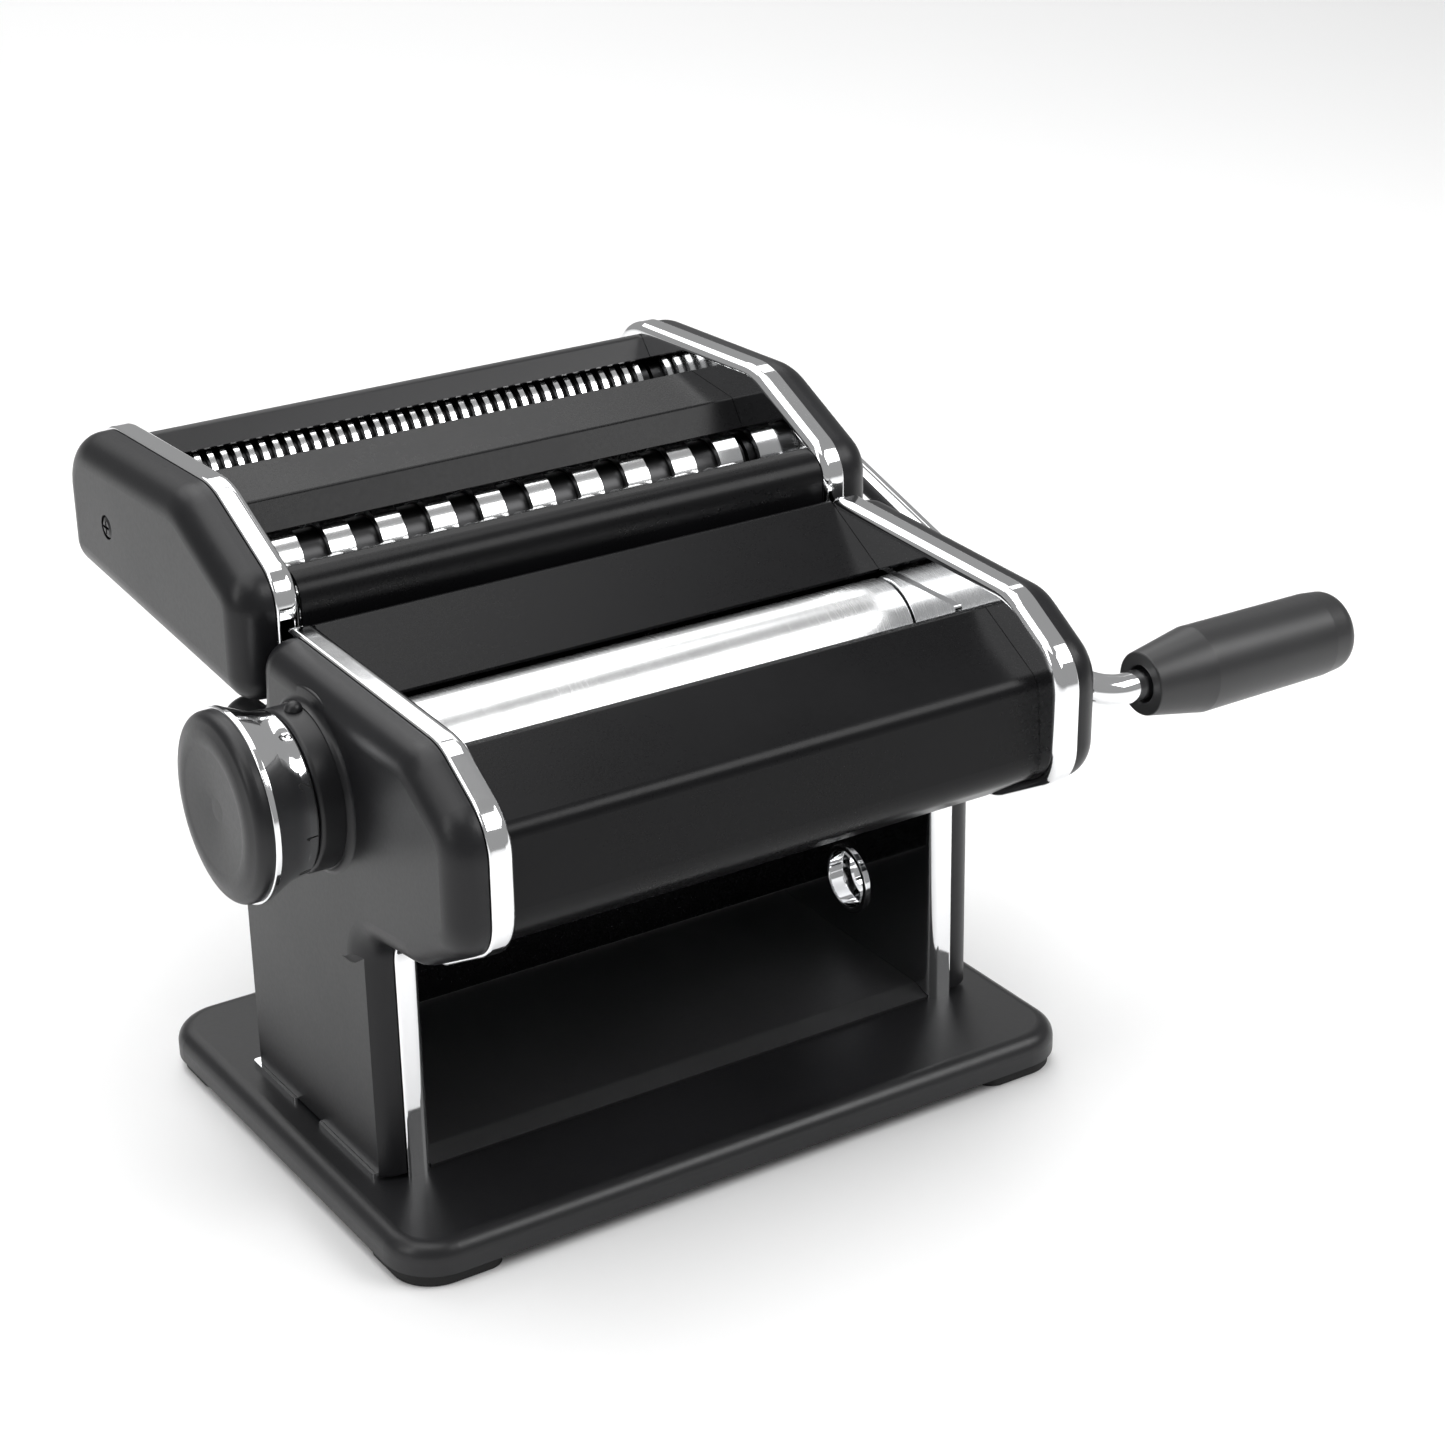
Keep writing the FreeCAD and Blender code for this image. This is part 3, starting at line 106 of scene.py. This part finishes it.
class Recipe:
    """A small wrapper for building one material's node tree."""

    def __init__(self, name, **constants):
        self.material = bpy.data.materials.new(name)
        self.material.use_nodes = True
        self.tree = self.material.node_tree
        self.shader = self.tree.nodes["Principled BSDF"]
        for socket, value in constants.items():
            self.shader.inputs[socket.replace("_", " ")].default_value = value
        self.coords = self.add("ShaderNodeTexCoord").outputs["Object"]

    def add(self, kind, **settings):
        node = self.tree.nodes.new(kind)
        for key, value in settings.items():
            setattr(node, key, value)
        return node

    def link(self, source, target):
        self.tree.links.new(source, target)

    def noise(self, scale, detail=3.0, roughness=0.5, stretch=(1, 1, 1)):
        mapping = self.add("ShaderNodeMapping")
        mapping.inputs["Scale"].default_value = stretch
        self.link(self.coords, mapping.inputs["Vector"])
        node = self.add("ShaderNodeTexNoise")
        node.inputs["Scale"].default_value = scale
        node.inputs["Detail"].default_value = detail
        node.inputs["Roughness"].default_value = roughness
        self.link(mapping.outputs["Vector"], node.inputs["Vector"])
        return node.outputs["Fac"]

    def ramp(self, value, low, high, out_low, out_high):
        node = self.add("ShaderNodeMapRange")
        limits = {"From Min": low, "From Max": high, "To Min": out_low, "To Max": out_high}
        for socket, number in limits.items():
            node.inputs[socket].default_value = number
        self.link(value, node.inputs["Value"])
        return node.outputs["Result"]

    def plus(self, first, second):
        node = self.add("ShaderNodeMath", operation="ADD")
        self.link(first, node.inputs[0])
        self.link(second, node.inputs[1])
        return node.outputs["Value"]

    def mix(self, factor, first, second):
        node = self.add("ShaderNodeMix", data_type="RGBA")
        node.inputs["A"].default_value = (*first, 1)
        node.inputs["B"].default_value = (*second, 1)
        self.link(factor, node.inputs["Factor"])
        return node.outputs["Result"]

    def roughness(self, value):
        self.link(value, self.shader.inputs["Roughness"])

    def color(self, value):
        self.link(value, self.shader.inputs["Base Color"])

    def bump(self, height, distance, strength=1.0):
        node = self.add("ShaderNodeBump")
        node.inputs["Strength"].default_value = strength
        node.inputs["Distance"].default_value = distance
        self.link(height, node.inputs["Height"])
        self.link(node.outputs["Normal"], self.shader.inputs["Normal"])


# axes of the cutting rollers (y, z from the middle of the base) and the radius of their grooves' floor
CUTTER_AXES = {"wide_cutter_rear": (0.0560, 0.1396), "wide_cutter_front": (0.0374, 0.1357),
               "narrow_cutter_rear": (0.1054, 0.1490), "narrow_cutter_front": (0.0868, 0.1451)}
GROOVE_RADIUS = 0.0085


def satin_black(name, tone, rough, grain, shine=0.42):
    """Painted or moulded black with a fine orange-peel skin and faint handling marks."""
    r = Recipe(name, Specular_IOR_Level=shine)
    marks = r.ramp(r.noise(14, 4, 0.6), 0.35, 0.7, 0.0, 1.0)
    r.color(r.mix(marks, tone, tuple(c * 1.5 for c in tone)))
    fine = r.ramp(r.noise(900, 2), 0.3, 0.7, -0.02, 0.02)
    r.roughness(r.plus(r.ramp(marks, 0, 1, rough, rough + 0.06), fine))
    r.bump(r.noise(grain, 2, 0.5), 0.00004, 0.25)
    return r.material


def polished_chrome():
    """Bright plating with a slight waviness, haze from wiping and hairline scratches."""
    r = Recipe("chrome", Metallic=1.0)
    haze = r.noise(30, 5, 0.65)
    r.color(r.mix(haze, (0.86, 0.865, 0.88), (0.93, 0.935, 0.94)))
    scratches = r.ramp(r.noise(400, 4, 0.7, (1, 1, 0.08)), 0.6, 0.78, 0, 0.05)
    r.roughness(r.plus(r.ramp(haze, 0.3, 0.7, 0.04, 0.09), scratches))
    r.bump(r.noise(45, 2), 0.0004, 0.08)
    return r.material


def turned_metal(name, tone, rough, lines):
    """Metal turned on a lathe: fine rings around the X axis."""
    r = Recipe(name, Metallic=1.0)
    rings = r.noise(lines, 2, 0.6, (1, 0.002, 0.002))
    cloud = r.noise(25, 3)
    r.color(r.mix(cloud, tone, tuple(min(1, c * 1.06) for c in tone)))
    ringed = r.ramp(rings, 0.3, 0.7, rough - 0.02, rough + 0.03)
    r.roughness(r.plus(ringed, r.ramp(cloud, 0.3, 0.7, 0, 0.03)))
    r.bump(rings, 0.000004, 0.3)
    return r.material


def groove_shaded_metal(name, axis_y, axis_z):
    """Cutting roller: bright ground discs, with painted shade making the grooves between them near-black.
    """
    r = Recipe(name, Metallic=1.0)
    across = r.add("ShaderNodeVectorMath", operation="SUBTRACT")
    r.link(r.coords, across.inputs[0])
    across.inputs[1].default_value = (0, MID.y + axis_y, MID.z + axis_z)
    flat = r.add("ShaderNodeVectorMath", operation="MULTIPLY")
    r.link(across.outputs["Vector"], flat.inputs[0])
    flat.inputs[1].default_value = (0, 1, 1)
    radius = r.add("ShaderNodeVectorMath", operation="LENGTH")
    r.link(flat.outputs["Vector"], radius.inputs[0])
    disc = r.ramp(radius.outputs["Value"], GROOVE_RADIUS, GROOVE_RADIUS + 0.0008, 0, 1)
    # painted shade: inside the groove radius the colour turns near-black, standing in for shade between the
    # discs
    r.color(r.mix(disc, (0.045, 0.045, 0.046), (0.86, 0.865, 0.87)))
    cloud = r.noise(25, 3)
    r.roughness(r.plus(r.ramp(disc, 0, 1, 0.32, 0.15), r.ramp(cloud, 0.3, 0.7, 0, 0.03)))
    return r.material


def turned_black():
    """Fine turned satin black with faint rings along its length."""
    r = Recipe("grip_black", Specular_IOR_Level=0.5)
    rings = r.noise(2400, 2, 0.6, (1, 0.004, 0.004))
    marks = r.noise(20, 4)
    r.color(r.mix(marks, (0.018, 0.018, 0.019), (0.03, 0.03, 0.031)))
    r.roughness(r.plus(r.ramp(rings, 0.3, 0.7, 0.33, 0.4), r.ramp(marks, 0.4, 0.7, 0, 0.05)))
    r.bump(rings, 0.00001, 0.4)
    return r.material


def rubber():
    """Matt moulded rubber with a little dust in it."""
    r = Recipe("rubber", Specular_IOR_Level=0.35)
    dust = r.noise(60, 5, 0.7)
    r.color(r.mix(dust, (0.010, 0.010, 0.010), (0.024, 0.024, 0.024)))
    r.roughness(r.ramp(dust, 0.3, 0.7, 0.65, 0.85))
    r.bump(r.noise(1500, 2), 0.0001, 0.5)
    return r.material


def floor_material():
    """Plain pale studio floor."""
    r = Recipe("floor", Roughness=0.6)
    r.color(r.mix(r.noise(3, 3), (0.965, 0.965, 0.965), (0.985, 0.985, 0.985)))
    return r.material


FLOOR_HALF = 6.0
FLOOR_DROP = 0.0002


def build_floor():
    mesh = bpy.data.meshes.new("floor")
    corners = [(x * FLOOR_HALF, y * FLOOR_HALF, 0) for x, y in ((-1, -1), (1, -1), (1, 1), (-1, 1))]
    mesh.from_pydata(corners, [], [(0, 1, 2, 3)])
    floor = bpy.data.objects.new("floor", mesh)
    floor.location.z = -FLOOR_DROP
    mesh.materials.append(floor_material())
    bpy.context.scene.collection.objects.link(floor)


FINISHES = {
    "black_paint": satin_black("paint_black", (0.010, 0.010, 0.011), 0.34, 1400),
    "black_cover": satin_black("cover_black", (0.007, 0.007, 0.008), 0.33, 1400, 0.31),
    "black_plastic": satin_black("knob_black", (0.007, 0.007, 0.008), 0.36, 1800, 0.38),
    "comb_plastic": satin_black("comb_black", (0.010, 0.010, 0.011), 0.45, 1200),
    "chrome": polished_chrome(),
    "rollers": turned_metal("roller_metal", (0.86, 0.865, 0.87), 0.23, 3500),
    "steel": turned_metal("plain_steel", (0.55, 0.55, 0.56), 0.32, 3000),
    "grip": turned_black(),
    "rubber": rubber(),
}


def dress_nodes():
    # painted shade: a darker, less shiny copy of the black paint on the front cover, rear panel, nose and
    # divider
    painted_shade_black = satin_black("painted_shade_black", (0.004, 0.004, 0.0045), 0.26, 1400, 0.16)
    # painted light: a lighter copy of the black paint on the dough tray
    painted_light_tray_black = satin_black("painted_light_tray_black", (0.022, 0.022, 0.023), 0.42, 1400)
    special = {"front_cover": painted_shade_black, "rear_panel": painted_shade_black, "cutter_nose": painted_shade_black,
               "cutter_divider": painted_shade_black, "dough_tray": painted_light_tray_black}
    for name, axis in CUTTER_AXES.items():
        special[name] = groove_shaded_metal(name + "_metal", *axis)
    for entry in frame["record"]["subparts"]:
        name = entry["node"]
        mesh = NODES[name].data
        mesh.materials.clear()
        mesh.materials.append(special.get(name, FINISHES[entry["material_slot"]]))


# ------------------------------------------------------------------ numbers on the dial drum

# each figure is a set of strokes on a grid 2 wide and 4 high
STROKES = {
    0: [[(0.5, 0), (1.5, 0), (2, 0.7), (2, 3.3), (1.5, 4), (0.5, 4), (0, 3.3), (0, 0.7), (0.5, 0)]],
    1: [[(0.3, 3.1), (1.1, 4), (1.1, 0)]],
    2: [[(0, 3.2), (0.5, 4), (1.5, 4), (2, 3.3), (1.8, 2.4), (0, 0), (2, 0)]],
    3: [[(0, 3.6), (0.6, 4), (1.5, 4), (2, 3.3), (1.7, 2.4), (0.9, 2.1), (1.7, 1.8), (2, 0.9), (1.5, 0),
         (0.5, 0), (0, 0.5)]],
    4: [[(1.5, 0), (1.5, 4), (0, 1.3), (2.1, 1.3)]],
    5: [[(1.9, 4), (0.3, 4), (0.1, 2.3), (1.2, 2.5), (2, 1.8), (2, 0.8), (1.4, 0), (0.5, 0), (0, 0.4)]],
    6: [[(1.8, 3.7), (1.2, 4), (0.5, 3.7), (0, 2.4), (0, 0.8), (0.5, 0), (1.5, 0), (2, 0.7), (2, 1.6),
         (1.5, 2.2), (0.6, 2.2), (0, 1.6)]],
    7: [[(0, 4), (2, 4), (0.8, 0)]],
    8: [[(0.6, 2.1), (0.1, 3), (0.5, 4), (1.5, 4), (1.9, 3), (1.4, 2.1), (2, 1.1), (1.5, 0), (0.5, 0),
         (0, 1.1), (0.6, 2.1), (1.4, 2.1)]],
    9: [[(0.2, 0.3), (0.8, 0), (1.5, 0.3), (2, 1.6), (2, 3.2), (1.5, 4), (0.5, 4), (0, 3.3), (0, 2.4),
         (0.5, 1.8), (1.4, 1.8), (2, 2.4)]],
}
DRUM_AXIS = MID + Vector((0, -0.0205, 0.1143))
DRUM_X = -0.1025
FIGURE_HEIGHT = 0.0028
FIGURE_LINE = 0.00038
FIGURE_RISE = 0.00004
FIGURE_STEP = math.radians(36)
POINTED_AT = 4
# the pointed figure stands a little behind the pointer
LEAN = math.radians(9)


def drum_profile():
    """Rings of the drum's own mesh: distance along the dial's axis and radius."""
    rings = set()
    for vertex in NODES["dial_drum"].data.vertices:
        point = vertex.co
        radius = math.hypot(point.y - DRUM_AXIS.y, point.z - DRUM_AXIS.z)
        rings.add((round(point.x - MID.x, 5), round(radius, 5)))
    return sorted(rings)


def drum_radius(profile, x):
    """Radius of the drum's skin at a distance x along its axis."""
    before = max((p for p in profile if p[0] <= x), key=lambda p: (p[0], p[1]))
    after = max((p for p in profile if p[0] >= x), key=lambda p: (-p[0], p[1]))
    if after[0] - before[0] < 1e-6:
        return before[1]
    share = (x - before[0]) / (after[0] - before[0])
    return before[1] + share * (after[1] - before[1])


def figure_mesh(number, profile):
    """Thin raised strokes of one figure laid on the drum; its top faces the knob's cap."""
    unit = FIGURE_HEIGHT / 4
    centre = (POINTED_AT - number) * FIGURE_STEP - LEAN
    points, faces = [], []

    def on_drum(u, v, lift):
        x = DRUM_X - (v - 2) * unit
        radius = drum_radius(profile, x) + lift
        angle = centre - (u - 1) * unit / radius
        return (MID.x + x, DRUM_AXIS.y - radius * math.sin(angle), DRUM_AXIS.z + radius * math.cos(angle))

    half = FIGURE_LINE / unit / 2
    for stroke in STROKES[number]:
        for (u0, v0), (u1, v1) in zip(stroke, stroke[1:]):
            length = math.hypot(u1 - u0, v1 - v0)
            du, dv = (u1 - u0) / length * half, (v1 - v0) / length * half
            rim = [(u0 - du - dv, v0 - dv + du), (u0 - du + dv, v0 - dv - du), (u1 + du + dv, v1 + dv - du),
                   (u1 + du - dv, v1 + dv + du)]
            first = len(points)
            for lift in (FIGURE_RISE, -FIGURE_RISE):
                points += [on_drum(u, v, lift) for u, v in rim]
            faces += [tuple(first + i for i in (0, 1, 2, 3)), tuple(first + i for i in (7, 6, 5, 4))]
            for i in range(4):
                after = (i + 1) % 4
                faces.append((first + i, first + i + 4, first + after + 4, first + after))
    mesh = bpy.data.meshes.new("dial_figure_%d" % number)
    mesh.from_pydata(points, [], faces)
    mesh.update()
    return mesh


def number_paint():
    """Thin black filling of the figures, slightly worn."""
    r = Recipe("figure_black", Specular_IOR_Level=0.3)
    wear = r.noise(700, 3, 0.6)
    r.color(r.mix(wear, (0.006, 0.006, 0.006), (0.02, 0.02, 0.02)))
    r.roughness(r.ramp(wear, 0.3, 0.7, 0.45, 0.6))
    return r.material


def build_figures():
    paint = number_paint()
    profile = drum_profile()
    for number in sorted(STROKES):
        mesh = figure_mesh(number, profile)
        mesh.materials.append(paint)
        figure = bpy.data.objects.new(mesh.name, mesh)
        bpy.context.scene.collection.objects.link(figure)
        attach(figure, "gap_knob")


build_camera()
build_light()
build_floor()
dress_nodes()
build_figures()
